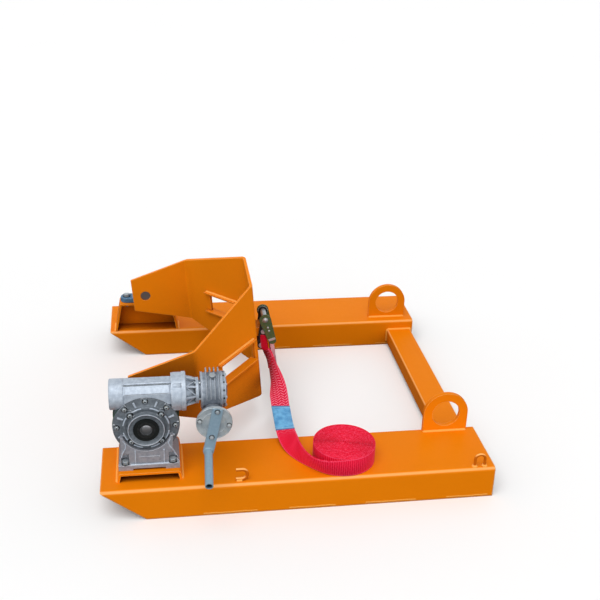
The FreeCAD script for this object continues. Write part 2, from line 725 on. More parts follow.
def adapter_bell():
    """Ribbed cone between the two gearboxes, with a bolted flange and a neck at its small end."""
    cone = Part.makeCone(BELL_ROOT, BELL_SMALL, BELL_LENGTH, worm_axis(BELL_START), X_AXIS)
    width = BELL_FLANGE_LENGTH - BELL_NECK_LENGTH
    flange = cylinder(worm_axis(BELL_FLANGE_START), X_AXIS, BELL_FLANGE_RADIUS, width)
    flange = flange.fuse(cylinder(worm_axis(BELL_FLANGE_START), X_AXIS, BELL_NECK_RADIUS, BELL_FLANGE_LENGTH))
    ribs = []
    for k in range(BELL_RIBS):
        rib = Part.makePolygon([Vector(BELL_START, 0, 0), Vector(BELL_START, 0, BELL_BIG),
                                Vector(BELL_FLANGE_START, 0, BELL_FLANGE_RADIUS),
                                Vector(BELL_FLANGE_START, 0, 0), Vector(BELL_START, 0, 0)])
        solid = Part.Face(rib).extrude(Y_AXIS * BELL_RIB_WIDTH)
        solid.translate(Vector(0, CASE_MIDDLE - BELL_RIB_WIDTH / 2, WORM_Z))
        solid.rotate(worm_axis(BELL_START), X_AXIS, 360.0 * k / BELL_RIBS)
        ribs.append(solid)
    bore = BELL_SMALL - BELL_WALL
    cuts = [cylinder(worm_axis(BELL_START), X_AXIS, bore, BELL_LENGTH + BELL_FLANGE_LENGTH)]
    for place in bell_bolt_places():
        cuts.append(cylinder(place, X_AXIS, BELL_BOLT + BOLT_HOLE_CLEARANCE, BELL_FLANGE_LENGTH))
    return cone.fuse([flange] + ribs).cut(cuts).removeSplitter()


def bell_bolts():
    """Bolts of the bell's flange, between the ribs."""
    solids = []
    for place in bell_bolt_places():
        solids.append(bolt(place, X_AXIS * -1, BELL_BOLT, BELL_BOLT_HEAD, BELL_FLANGE_LENGTH))
    return Part.makeCompound(solids)


def bell_bolt_places():
    start = 180.0 / BELL_RIBS
    radius = BELL_FLANGE_RADIUS - BELL_BOLT_HEAD - FACE_CLEARANCE
    return circle_places(worm_axis(BELL_FLANGE_START), X_AXIS, Z_AXIS, radius, BELL_RIBS // 2, start)


# Small gearbox

def input_axis(y):
    return Vector(SMALL_MIDDLE, y, INPUT_Z)


def small_case():
    """Round case about the worm's line, cooling fins on top and the input barrel across below."""
    body = cylinder(worm_axis(SMALL_START), X_AXIS, SMALL_CASE_RADIUS, SMALL_CASE_LENGTH)
    bands = []
    for x in (SMALL_START, SMALL_COVER_START - SMALL_BAND_WIDTH):
        bands.append(cylinder(worm_axis(x), X_AXIS, SMALL_CASE_RADIUS + SMALL_BAND_STEP, SMALL_BAND_WIDTH))
    fins = []
    for k in range(FIN_COUNT):
        x = SMALL_MIDDLE + (k - (FIN_COUNT - 1) / 2) * FIN_PITCH - FIN_THICKNESS / 2
        disc = cylinder(worm_axis(x), X_AXIS, SMALL_CASE_RADIUS + FIN_RISE, FIN_THICKNESS)
        reach = SMALL_CASE_RADIUS + FIN_RISE
        fins.append(disc.common(box(x, CASE_MIDDLE - reach, WORM_Z, FIN_THICKNESS, 2 * reach, reach)))
    start = CASE_MIDDLE - INPUT_FRONT_LENGTH
    length = INPUT_FRONT_LENGTH + INPUT_REAR_LENGTH
    barrel = cylinder(input_axis(start), Y_AXIS, INPUT_BARREL_RADIUS, length)
    floor = SMALL_START + SMALL_CASE_WALL
    chamber = cylinder(worm_axis(floor), X_AXIS, SMALL_CASE_RADIUS - SMALL_CASE_WALL, SMALL_CASE_LENGTH)
    passage = cylinder(worm_axis(SMALL_START), X_AXIS, WORM_SHAFT_RADIUS + FACE_CLEARANCE, SMALL_CASE_WALL)
    bore = cylinder(input_axis(start), Y_AXIS, INPUT_BORE, length - SMALL_CASE_WALL)
    cover_room = cylinder(worm_axis(SMALL_COVER_START), X_AXIS, 2 * SMALL_CASE_RADIUS, SMALL_CASE_LENGTH)
    outside = body.fuse(bands + fins + [barrel])
    seat, lean = plug_seat()
    spot = cylinder(seat, lean, PLUG_RADIUS + SMALL_BOLT, 2 * FIN_RISE)
    return outside.cut([chamber, passage, bore, cover_room, spot]).removeSplitter()


def small_cover():
    """Round cover on the truck side of the small case."""
    cover = cylinder(worm_axis(SMALL_COVER_START), X_AXIS, SMALL_CASE_RADIUS + SMALL_BAND_STEP, SMALL_COVER_LENGTH)
    tip = SMALL_COVER_START + SMALL_COVER_LENGTH
    cap = Part.makeCone(SMALL_CASE_RADIUS - SMALL_CASE_WALL, SMALL_CASE_RADIUS / 2, SMALL_BAND_WIDTH,
                        worm_axis(tip), X_AXIS)
    return cover.fuse(cap).removeSplitter()


def small_cover_bolts():
    tip = SMALL_COVER_START + SMALL_COVER_LENGTH
    radius = SMALL_CASE_RADIUS - SMALL_BOLT + FACE_CLEARANCE
    places = circle_places(worm_axis(tip), X_AXIS, Z_AXIS, radius, SMALL_COVER_BOLT_COUNT, 0)
    return Part.makeCompound([hexagon(place, X_AXIS, SMALL_BOLT, SMALL_BOLT) for place in places])


def plug_seat():
    """Middle of the vent plug's spot face on the small case, and the way the plug leans."""
    lean = FreeCAD.Rotation(X_AXIS, PLUG_LEAN).multVec(Z_AXIS)
    return worm_axis(SMALL_MIDDLE) + lean * (SMALL_CASE_RADIUS - PLUG_SINK), lean


def oil_plug():
    """Vent plug among the fins."""
    seat, lean = plug_seat()
    neck = cylinder(seat, lean, PLUG_RADIUS / 2, PLUG_HEIGHT / 2)
    return neck.fuse(hexagon(seat + lean * (PLUG_HEIGHT / 2), lean, PLUG_RADIUS, PLUG_HEIGHT / 2))


def input_cover():
    """Ring that closes the input barrel round the crank's shaft."""
    return ring(input_axis(INPUT_FACE), Y_AXIS, INPUT_BARREL_RADIUS, INPUT_SHAFT_RADIUS + SPIN_CLEARANCE,
                INPUT_COVER_LENGTH)


def input_bearings():
    start = CASE_MIDDLE - INPUT_FRONT_LENGTH
    end = CASE_MIDDLE + INPUT_REAR_LENGTH - SMALL_CASE_WALL - INPUT_SHAFT_RADIUS
    rings = []
    for y in (start, end):
        rings.append(ring(input_axis(y), Y_AXIS, INPUT_BORE - SPIN_CLEARANCE,
                          INPUT_SHAFT_RADIUS + SPIN_CLEARANCE, INPUT_SHAFT_RADIUS))
    return Part.makeCompound(rings)


# Shafts and wheels

def worm_shaft():
    """Main worm, turned on a shaft that reaches into the small gearbox."""
    first, _ = worm_bearing_places()
    end = SMALL_MIDDLE + SMALL_WHEEL_WIDTH / 2
    shaft = cylinder(worm_axis(first), X_AXIS, WORM_SHAFT_RADIUS, end - first)
    worm = cylinder(worm_axis(PIVOT_X - WORM_LENGTH / 2), X_AXIS, WORM_RADIUS - MESH_CLEARANCE, WORM_LENGTH)
    return shaft.fuse(worm).removeSplitter()


def small_wheel():
    """Wheel of the small gearbox on the end of the worm's shaft."""
    start = worm_axis(SMALL_MIDDLE - SMALL_WHEEL_WIDTH / 2)
    disc = toothed_disc(start, X_AXIS, SMALL_WHEEL_RADIUS - MESH_CLEARANCE, SMALL_TOOTH_DEPTH,
                        SMALL_WHEEL_TEETH, SMALL_WHEEL_WIDTH)
    return disc.cut(cylinder(start, X_AXIS, WORM_SHAFT_RADIUS + SPIN_CLEARANCE, SMALL_WHEEL_WIDTH))


def wheel_hub():
    """Hollow hub of the main wheel, with the web that carries the rim."""
    hub = cylinder(wheel_axis(CASE_MIDDLE - HUB_HALF), Y_AXIS, HUB_RADIUS, 2 * HUB_HALF)
    web_radius = WHEEL_RADIUS - WHEEL_RIM
    web = cylinder(wheel_axis(CASE_MIDDLE - WHEEL_WEB / 2), Y_AXIS, web_radius, WHEEL_WEB)
    bore = cylinder(wheel_axis(CASE_MIDDLE - HUB_HALF), Y_AXIS, SHAFT_RADIUS + SPIN_CLEARANCE, 2 * HUB_HALF)
    return hub.fuse(web).cut([bore, key_block(SPIN_CLEARANCE)]).removeSplitter()


def key_block(margin):
    """Block of the shaft key, grown by a margin."""
    width = KEY_WIDTH + 2 * margin
    low = PIVOT_Z + SHAFT_RADIUS - KEY_HEIGHT / 2 - margin
    start = FRONT_SHAFT_END - margin
    return box(PIVOT_X - width / 2, start, low, width, KEY_LENGTH + 2 * margin, KEY_HEIGHT + 2 * margin)


def wheel_rim():
    """Bronze rim of the main wheel, with its teeth."""
    start = wheel_axis(CASE_MIDDLE - WHEEL_WIDTH / 2)
    disc = toothed_disc(start, Y_AXIS, WHEEL_RADIUS - MESH_CLEARANCE, TOOTH_DEPTH, WHEEL_TEETH, WHEEL_WIDTH)
    bore = WHEEL_RADIUS - WHEEL_RIM + SPIN_CLEARANCE
    return disc.cut(cylinder(start, Y_AXIS, bore, WHEEL_WIDTH))


def small_worm():
    """Input shaft with the small worm."""
    start = ARM_BACK
    end = CASE_MIDDLE + INPUT_REAR_LENGTH - SMALL_CASE_WALL - FACE_CLEARANCE
    shaft = cylinder(input_axis(start), Y_AXIS, INPUT_SHAFT_RADIUS, end - start)
    worm = cylinder(input_axis(CASE_MIDDLE - SMALL_WORM_LENGTH / 2), Y_AXIS,
                    SMALL_WORM_RADIUS - MESH_CLEARANCE, SMALL_WORM_LENGTH)
    return shaft.fuse(worm).removeSplitter()


# Crank, drawn hanging straight down and then leaned about its shaft

def crank_leaned(shape):
    placed = shape.copy()
    placed.rotate(input_axis(0), Y_AXIS, CRANK_LEAN)
    return placed


def disc_bolt_places(y):
    return circle_places(input_axis(y), Y_AXIS, X_AXIS, DISC_BOLT_CIRCLE, 4, 0)


def crank_disc():
    """Disc with a hub on the input shaft; the arm is screwed across its face."""
    disc = cylinder(input_axis(ARM_BACK), Y_AXIS, DISC_RADIUS, DISC_THICKNESS)
    hub = cylinder(input_axis(DISC_BACK), Y_AXIS, DISC_HUB_RADIUS, DISC_HUB_LENGTH - FACE_CLEARANCE)
    bore = INPUT_SHAFT_RADIUS + SPIN_CLEARANCE
    cuts = [cylinder(input_axis(ARM_BACK), Y_AXIS, bore, DISC_THICKNESS + DISC_HUB_LENGTH)]
    for place in disc_bolt_places(ARM_BACK):
        cuts.append(cylinder(place, Y_AXIS, SMALL_BOLT + BOLT_HOLE_CLEARANCE, DISC_THICKNESS))
    return crank_leaned(disc.fuse(hub).cut(cuts).removeSplitter())


def crank_bolts():
    """Two bolts at the disc's sides and two screws through the arm."""
    solids = []
    for k, place in enumerate(disc_bolt_places(ARM_BACK)):
        stand = ARM_THICKNESS if k % 2 else 0
        seat = place - Y_AXIS * stand
        solids.append(bolt(seat, Y_AXIS * -1, SMALL_BOLT, SMALL_BOLT_HEAD, stand + DISC_THICKNESS))
    return crank_leaned(Part.makeCompound(solids))


def crank_arm():
    """Flat bar across the disc that carries the handle at its lower end."""
    x, z, half = SMALL_MIDDLE, INPUT_Z, ARM_WIDTH / 2
    corners = [(x - half, z - ARM_BELOW, 3), (x + half, z - ARM_BELOW, 3)]
    corners += [(x + half, z + ARM_ABOVE, 3), (x - half, z + ARM_ABOVE, 3)]
    bar = prism_y(corners, ARM_BACK - ARM_THICKNESS, ARM_THICKNESS)
    cuts = []
    for place in disc_bolt_places(ARM_BACK - ARM_THICKNESS)[1::2]:
        cuts.append(cylinder(place, Y_AXIS, SMALL_BOLT + BOLT_HOLE_CLEARANCE, ARM_THICKNESS))
    return crank_leaned(bar.cut(cuts))


def crank_handle():
    """Tube welded on the arm's front near its lower end, drooping forward, open at its far end."""
    face = ARM_BACK - ARM_THICKNESS
    droop = math.radians(HANDLE_DROOP)
    heading = Vector(0, -math.cos(droop), -math.sin(droop))
    root = Vector(SMALL_MIDDLE, face, INPUT_Z - ARM_BELOW + HANDLE_RADIUS / 2) - heading * HANDLE_RADIUS
    length = HANDLE_LENGTH + HANDLE_RADIUS
    tube = ring(root, heading, HANDLE_RADIUS, HANDLE_RADIUS - HANDLE_WALL, length)
    behind = box(root.x - ARM_WIDTH, face, root.z - ARM_WIDTH, 2 * ARM_WIDTH, ARM_WIDTH, 2 * ARM_WIDTH)
    return crank_leaned(tube.cut(behind))


# Far pivot

def pillow_block():
    """Pillow block housing with two bolt ears."""
    base_z = PIVOT_Z - PILLOW_CENTRE
    start = PILLOW_Y - PILLOW_WIDTH / 2
    half = PILLOW_LENGTH / 2
    corners = [(PIVOT_X - half, start), (PIVOT_X + half, start)]
    corners += [(PIVOT_X + half, start + PILLOW_WIDTH), (PIVOT_X - half, start + PILLOW_WIDTH)]
    base = prism_z([(u, v, PILLOW_EAR_ROUND) for u, v in corners], base_z, PILLOW_BASE)
    body = cylinder(wheel_axis(PILLOW_Y - PILLOW_RING_WIDTH / 2), Y_AXIS, PILLOW_RING_RADIUS, PILLOW_RING_WIDTH)
    web = box(PIVOT_X - PILLOW_RING_RADIUS, PILLOW_Y - PILLOW_RING_WIDTH / 2, base_z,
              2 * PILLOW_RING_RADIUS, PILLOW_RING_WIDTH, PILLOW_CENTRE)
    cuts = [cylinder(wheel_axis(start), Y_AXIS, INSERT_RADIUS + SPIN_CLEARANCE, PILLOW_WIDTH)]
    for x, y in pillow_bolt_places():
        cuts.append(cylinder(Vector(x, y, base_z), Z_AXIS, LARGE_BOLT + BOLT_HOLE_CLEARANCE, PILLOW_BASE))
    return base.fuse([body, web]).cut(cuts).removeSplitter()


def insert_bearing():
    """Insert bearing in the pillow block, round the far stub shaft."""
    start = PILLOW_Y - INSERT_WIDTH / 2
    return ring(wheel_axis(start), Y_AXIS, INSERT_RADIUS, SHAFT_RADIUS + SPIN_CLEARANCE, INSERT_WIDTH)


# Cradle, in its upright frame about the pivot

def bevel_length():
    across = CRADLE_INSIDE / 2 - CRADLE_BACK_HALF
    return math.hypot(across, CRADLE_BACK_X - CRADLE_BEND_X)


def cradle_half_heights():
    """Half height at the arm's end, at the arm's bend and at the back: one straight taper on the flat sheet."""
    slope = math.tan(math.radians(CRADLE_TAPER))
    bend = CRADLE_END_HALF + slope * (CRADLE_END + CRADLE_BEND_X)
    return CRADLE_END_HALF, bend, bend + slope * bevel_length()


def offset_corner(distance):
    """Plan corners of the cradle's right half, moved outwards by a distance: bend and back."""
    half = CRADLE_INSIDE / 2
    across, run = half - CRADLE_BACK_HALF, CRADLE_BACK_X - CRADLE_BEND_X
    angle = math.atan2(across, run)
    shift = distance * math.tan(angle / 2)
    back = distance * math.tan((math.pi / 2 - angle) / 2)
    return (CRADLE_BEND_X + shift, half + distance), (CRADLE_BACK_X + distance, CRADLE_BACK_HALF + back)


def cradle_plan():
    """Plan of the bent sheet: two arms, two bevels and the back, with rounded bends."""
    inner, outer = CRADLE_BEND_RADIUS, CRADLE_BEND_RADIUS + CRADLE_PLATE
    bend_in, back_in = offset_corner(0)
    bend_out, back_out = offset_corner(CRADLE_PLATE)
    end = -CRADLE_END
    half_out = [(end, bend_out[1], 0), bend_out + (outer,), back_out + (outer,)]
    half_in = [(end, bend_in[1], 0), bend_in + (inner,), back_in + (inner,)]
    near_out = [(u, -v, r) for u, v, r in half_out]
    near_in = [(u, -v, r) for u, v, r in half_in]
    return half_out + near_out[::-1] + near_in + half_in[::-1]


def cradle_side():
    """Side view that trims the bent sheet: narrow at the pivot and tall at the back."""
    end, bend, back = cradle_half_heights()
    beyond = CRADLE_BACK_X + 2 * CRADLE_PLATE
    upper = [(-CRADLE_END, end), (CRADLE_BEND_X, bend), (CRADLE_BACK_X, back), (beyond, back)]
    points = [(u, CRADLE_RISE + v) for u, v in upper] + [(u, CRADLE_RISE - v) for u, v in reversed(upper)]
    return plain(points)


def bevel_block(side, start, length, low, high, depth):
    """Block across a bevel: a stretch of the sheet's run from the arm's bend, between two heights."""
    bend, back = offset_corner(CRADLE_PLATE / 2)
    run = Vector(back[0] - bend[0], back[1] - bend[1], 0).normalize()
    out = Vector(-run.y, run.x, 0)
    corner = Vector(bend[0], bend[1], 0) + run * start - out * (depth / 2)
    points = [corner, corner + run * length, corner + run * length + out * depth, corner + out * depth]
    flat = [(p.x, side * p.y, 0) for p in points]
    shape = prism_z(flat, low, high - low)
    shape.translate(Y_AXIS * FRAME_MIDDLE)
    return shape


def guide_strip(side, low):
    """One strap guide: a flat strip through the sheet along a window's edge."""
    start = WINDOW_START - GUIDE_OVERRUN
    length = WINDOW_LENGTH + GUIDE_OVERRUN
    return bevel_block(side, start, length, low, low + GUIDE_THICKNESS, GUIDE_DEPTH)


def strap_guides(low):
    return leaned(Part.makeCompound([guide_strip(side, low) for side in (-1, 1)]))


def cradle_plate():
    """Bent sheet of the cradle with the strap windows and the shaft holes."""
    _, _, back = cradle_half_heights()
    sheet = prism_z(cradle_plan(), CRADLE_RISE - back, 2 * back)
    sheet.translate(Y_AXIS * FRAME_MIDDLE)
    reach = CRADLE_INSIDE / 2 + 2 * CRADLE_PLATE
    sheet = sheet.common(prism_y(cradle_side(), FRAME_MIDDLE - reach, 2 * reach))
    cuts = [cylinder(Vector(0, FRAME_MIDDLE - reach, 0), Y_AXIS, SHAFT_RADIUS + SPIN_CLEARANCE, 2 * reach)]
    for side in (-1, 1):
        cuts.append(bevel_block(side, WINDOW_START, WINDOW_LENGTH, WINDOW_BOTTOM, WINDOW_TOP, GUIDE_DEPTH))
        cuts += [guide_strip(side, WINDOW_TOP), guide_strip(side, WINDOW_BOTTOM - GUIDE_THICKNESS)]
    return leaned(sheet.cut(cuts))


def shaft_boss(side):
    """Round boss welded on the outside of an arm."""
    face = FRAME_MIDDLE + side * (CRADLE_INSIDE / 2 + CRADLE_PLATE)
    return ring(wheel_axis(face), Y_AXIS * side, BOSS_RADIUS, SHAFT_RADIUS + SPIN_CLEARANCE, BOSS_THICKNESS)


def stub_shaft(side, end):
    """Stub shaft from its recess in an arm out to its bearing."""
    start = FRAME_MIDDLE + side * (CRADLE_INSIDE / 2 + SHAFT_RECESS)
    return cylinder(wheel_axis(start), Y_AXIS * side, SHAFT_RADIUS, abs(end - start))


# Ratchet, in the cradle's upright frame

def spool_centre():
    return Vector(BACK_FACE + RATCHET_SPOOL_X, RATCHET_SPOOL_Z, 0)


def anchor_centre():
    return Vector(BACK_FACE + RATCHET_ANCHOR_X, RATCHET_ANCHOR_Z, 0)


def lever_end(distance):
    """Point along the lever from the spool."""
    angle = math.radians(LEVER_ANGLE)
    centre = spool_centre()
    return Vector(centre.x + distance * math.sin(angle), centre.y - distance * math.cos(angle), 0)


def on_spool(y):
    centre = spool_centre()
    return Vector(centre.x, FRAME_MIDDLE + y, centre.y)


def on_anchor(y):
    centre = anchor_centre()
    return Vector(centre.x, FRAME_MIDDLE + y, centre.y)


def side_plate(first, first_radius, second, second_radius, inner, side):
    """One side plate of the ratchet at a distance from its middle plane."""
    start = FRAME_MIDDLE + (inner if side > 0 else -inner - RATCHET_PLATE)
    return link(first, first_radius, second, second_radius, start, RATCHET_PLATE)


WHEEL_INNER = RATCHET_INSIDE / 2 + RATCHET_PLATE + RATCHET_SIDE_GAP
LEVER_INNER = WHEEL_INNER + RATCHET_WHEEL_WIDTH + RATCHET_SIDE_GAP
LEVER_OUTER = LEVER_INNER + RATCHET_PLATE


def ratchet_frame():
    """The ratchet's two side plates, drilled for spool, bracket bolt and anchor bar."""
    plates = []
    half = RATCHET_INSIDE / 2
    for side in (-1, 1):
        plate = side_plate(spool_centre(), RATCHET_TOP_RADIUS, anchor_centre(), RATCHET_ANCHOR_RADIUS, half, side)
        start = -half - 2 * RATCHET_PLATE
        length = RATCHET_INSIDE + 4 * RATCHET_PLATE
        cuts = [cylinder(on_spool(start), Y_AXIS, RATCHET_SPOOL_RADIUS + SPIN_CLEARANCE, length)]
        cuts.append(cylinder(on_anchor(start), Y_AXIS, RATCHET_BAR_RADIUS + SPIN_CLEARANCE, length))
        cuts.append(cylinder(bracket_bolt_at(start), Y_AXIS, BRACKET_BOLT_RADIUS + SPIN_CLEARANCE, length))
        plates.append(plate.cut(cuts))
    return leaned(Part.makeCompound(plates))


def bracket_bolt_at(y):
    spool, anchor = spool_centre(), anchor_centre()
    share = (spool.y - BRACKET_Z) / (spool.y - anchor.y)
    return Vector(spool.x + (anchor.x - spool.x) * share, FRAME_MIDDLE + y, BRACKET_Z)


def ratchet_bracket():
    """Welded block on the cradle's back that the ratchet is bolted to."""
    width = RATCHET_INSIDE - 2 * FACE_CLEARANCE
    bolt_place = bracket_bolt_at(-width / 2)
    reach = bolt_place.x + 2 * BRACKET_BOLT_RADIUS - BACK_FACE
    block = box(BACK_FACE, FRAME_MIDDLE - width / 2, BRACKET_Z - BRACKET_HEIGHT / 2, reach, width, BRACKET_HEIGHT)
    return leaned(block.cut(cylinder(bolt_place, Y_AXIS, BRACKET_BOLT_RADIUS + SPIN_CLEARANCE, width)))


def cross_bar(place, radius):
    """Round bar across the ratchet's frame, with a thin head outside each plate."""
    half = RATCHET_INSIDE / 2 + RATCHET_PLATE
    bar = cylinder(place(-half), Y_AXIS, radius, 2 * half)
    heads = [cylinder(place(half), Y_AXIS, radius + 2, RATCHET_PLATE / 2)]
    heads.append(cylinder(place(-half), Y_AXIS * -1, radius + 2, RATCHET_PLATE / 2))
    return bar.fuse(heads).removeSplitter()


def ratchet_bars():
    """Anchor bar for the strap's loop, and the bolt through the bracket."""
    bars = [cross_bar(on_anchor, RATCHET_BAR_RADIUS), cross_bar(bracket_bolt_at, BRACKET_BOLT_RADIUS)]
    return leaned(Part.makeCompound(bars))


def ratchet_spool():
    """Slotted winding shaft with a toothed wheel at each end."""
    half = LEVER_OUTER
    shaft = cylinder(on_spool(-half), Y_AXIS, RATCHET_SPOOL_RADIUS, 2 * half)
    slot_half = RATCHET_INSIDE / 2
    slot = box(on_spool(0).x - 2 * RATCHET_SPOOL_RADIUS, FRAME_MIDDLE - slot_half,
               on_spool(0).z - RATCHET_SLOT / 2, 4 * RATCHET_SPOOL_RADIUS, 2 * slot_half, RATCHET_SLOT)
    wheels = []
    for side in (-1, 1):
        start = on_spool(side * WHEEL_INNER)
        wheels.append(toothed_disc(start, Y_AXIS * side, RATCHET_WHEEL_RADIUS, RATCHET_SLOT / 2,
                                   RATCHET_TEETH, RATCHET_WHEEL_WIDTH))
    return leaned(shaft.cut(slot).fuse(wheels).removeSplitter())


def ratchet_lever():
    """The lever's two side plates, hung on the spool's ends."""
    plates = []
    for side in (-1, 1):
        plate = side_plate(spool_centre(), LEVER_TOP_RADIUS, lever_end(LEVER_LENGTH), LEVER_END_RADIUS,
                           LEVER_INNER, side)
        hole = cylinder(on_spool(-LEVER_OUTER), Y_AXIS, RATCHET_SPOOL_RADIUS + SPIN_CLEARANCE, 2 * LEVER_OUTER)
        plates.append(plate.cut(hole))
    return leaned(Part.makeCompound(plates))


def ratchet_grip():
    """Folded sheet grip between the lever's plates, bent closer to the cradle than they are."""
    half = LEVER_INNER - RATCHET_SIDE_GAP / 5
    start = lever_end(LEVER_LENGTH - LEVER_END_RADIUS)
    depth = GRIP_DEPTH / 2
    sheet = GRIP_SHEET
    corners = [(-half, -depth, 0), (half, -depth, 0), (half, depth, 4), (-half, depth, 4)]
    hollow = [(-half + sheet, -depth, 0), (half - sheet, -depth, 0), (half - sheet, depth - sheet, 2)]
    hollow += [(-half + sheet, depth - sheet, 2)]

    def channel(points):
        face = outline(points, lambda u, v: Vector(start.x + v, FRAME_MIDDLE + u, start.y))
        return face.extrude(Z_AXIS * -GRIP_LENGTH)

    shape = channel(corners).cut(channel(hollow))
    shape.rotate(Vector(start.x, FRAME_MIDDLE, start.y), Y_AXIS, -GRIP_ANGLE)
    return leaned(shape)


def ratchet_pawl():
    """Sliding pawl: a bar between the lever's plates with a prong to each toothed wheel."""
    centre = spool_centre()
    half = LEVER_INNER - RATCHET_SIDE_GAP / 2
    prong = RATCHET_WHEEL_WIDTH
    top = centre.y - PAWL_BAR_START
    bar = box(centre.x - PAWL_THICKNESS / 2, FRAME_MIDDLE - half, top - PAWL_BAR_LENGTH,
              PAWL_THICKNESS, 2 * half, PAWL_BAR_LENGTH)
    tip = RATCHET_WHEEL_RADIUS + PAWL_GAP
    prongs = []
    for y in (-half, half - prong):
        prongs.append(box(centre.x - PAWL_THICKNESS / 2, FRAME_MIDDLE + y, top, PAWL_THICKNESS, prong,
                          PAWL_BAR_START - tip))
    shape = bar.fuse(prongs).removeSplitter()
    shape.rotate(on_spool(0), Y_AXIS, -LEVER_ANGLE)
    return leaned(shape)


# Strap

LOOP_INNER = RATCHET_BAR_RADIUS + MESH_CLEARANCE
LOOP_OUTER = LOOP_INNER + STRAP_THICKNESS

# Free stretch: each section's place as a share of the way from the ratchet's bar to the coil's end
# along X, Y and Z, and the way its width points
STRAP_ROUTE = [
    ((0.014, -0.000, 0.085), (0.0, -1.0, 0.0)),
    ((0.036, 0.001, 0.187), (0.1, -1.0, 0.0)),
    ((0.090, 0.013, 0.292), (0.25, -0.85, 0.4)),
    ((0.143, 0.038, 0.377), (0.15, -0.65, 0.75)),
    ((0.163, 0.075, 0.467), (0.17, -0.36, 0.92)),
    ((0.175, 0.131, 0.578), (0.25, -0.15, 0.95)),
    ((0.197, 0.202, 0.662), (0.47, -0.03, 0.88)),
    ((0.201, 0.283, 0.725), (0.8, 0.0, 0.6)),
    ((0.190, 0.375, 0.783), (0.97, 0.0, 0.26)),
    ((0.181, 0.461, 0.831), (0.98, 0.0, 0.17)),
    ((0.178, 0.563, 0.900), (0.98, -0.05, 0.17)),
    ((0.181, 0.667, 0.974), (0.87, -0.14, 0.48)),
    ((0.220, 0.749, 1.042), (0.66, -0.55, 0.5)),
    ((0.285, 0.823, 1.069), (0.44, -0.68, 0.57)),
    ((0.385, 0.897, 1.057), (0.24, -0.64, 0.72)),
    ((0.518, 0.956, 1.022), (0.07, -0.5, 0.85)),
    ((0.673, 0.990, 1.006), (0.0, -0.3, 0.95)),
    ((0.834, 1.000, 0.997), (0.0, -0.1, 1.0)),
]


def coil_half_turns():
    """Middle radius and centre of each half circle of the coil, from the inside out."""
    step = (STRAP_THICKNESS + STRAP_GAP) / 2
    halves = []
    for k in range(2 * COIL_TURNS):
        radius = COIL_INNER_RADIUS + STRAP_THICKNESS / 2 + k * step
        side = 1 if k % 2 else -1
        halves.append((radius, COIL_INSET - side * step / 2, side))
    return halves


def coil_face_edges(offset):
    """Half circles of one face of the band: left halves run to the back and right halves to the front."""
    edges = []
    for radius, y, side in coil_half_turns():
        reach = radius + offset
        start = Vector(COIL_X, y + side * reach, DECK)
        middle = Vector(COIL_X + side * reach, y, DECK)
        end = Vector(COIL_X, y - side * reach, DECK)
        edges.append(Part.Arc(start, middle, end).toShape())
    return edges


def coil_end():
    """Middle of the band where the coil runs out at the front."""
    radius, y, side = coil_half_turns()[-1]
    return Vector(COIL_X, y - side * radius, DECK + STRAP_WIDTH / 2)


def strap_coil():
    """The rest of the strap as one flat spiral band on its edge."""
    half = STRAP_THICKNESS / 2
    inner, outer = coil_face_edges(-half), coil_face_edges(half)
    first = Part.makeLine(inner[0].Vertexes[0].Point, outer[0].Vertexes[0].Point)
    last = Part.makeLine(inner[-1].Vertexes[-1].Point, outer[-1].Vertexes[-1].Point)
    band = Part.Face(Part.Wire(Part.__sortEdges__(inner + outer + [first, last])))
    return band.extrude(Z_AXIS * STRAP_WIDTH)


def strap_stations():
    """Centre, half width and half thickness at each section of the free stretch, none sunk in the sleeve."""
    bar = on_anchor(0)
    start = leaned_point(bar.x, bar.y, bar.z)
    way = coil_end() - start
    places = []
    for share, width in STRAP_ROUTE:
        centre = start + Vector(way.x * share[0], way.y * share[1], way.z * share[2])
        places.append((centre, Vector(*width)))
    places.append((coil_end(), Z_AXIS))
    stations = []
    for i, (centre, width) in enumerate(places):
        before = places[max(i - 1, 0)][0]
        after = places[min(i + 1, len(places) - 1)][0]
        run = X_AXIS if i == len(places) - 1 else (after - before).normalize()
        wide = (width - run * width.dot(run)).normalize() * (STRAP_WIDTH / 2)
        thick = run.cross(wide).normalize() * (STRAP_THICKNESS / 2)
        floor = DECK + FACE_CLEARANCE + abs(wide.z) + abs(thick.z)
        if i < len(places) - 1 and centre.y < SLEEVE_WIDTH + STRAP_WIDTH and centre.z < floor:
            centre = Vector(centre.x, centre.y, floor)
        stations.append((centre, wide, thick))
    return stations


def strap_tail():
    """Free stretch of the strap, twisting from the ratchet's bar to the coil, with its sewn loop."""
    wires = []
    for centre, wide, thick in strap_stations():
        points = [centre - wide - thick, centre + wide - thick, centre + wide + thick, centre - wide + thick]
        wires.append(Part.makePolygon(points + points[:1]))
    stretch = Part.makeLoft(wires, True, True)
    loop = leaned(ring(on_anchor(-STRAP_WIDTH / 2), Y_AXIS, LOOP_OUTER, LOOP_INNER, STRAP_WIDTH))
    bore = leaned(cylinder(on_anchor(-STRAP_WIDTH), Y_AXIS, LOOP_INNER, 2 * STRAP_WIDTH))
    return stretch.cut(bore).fuse(loop)


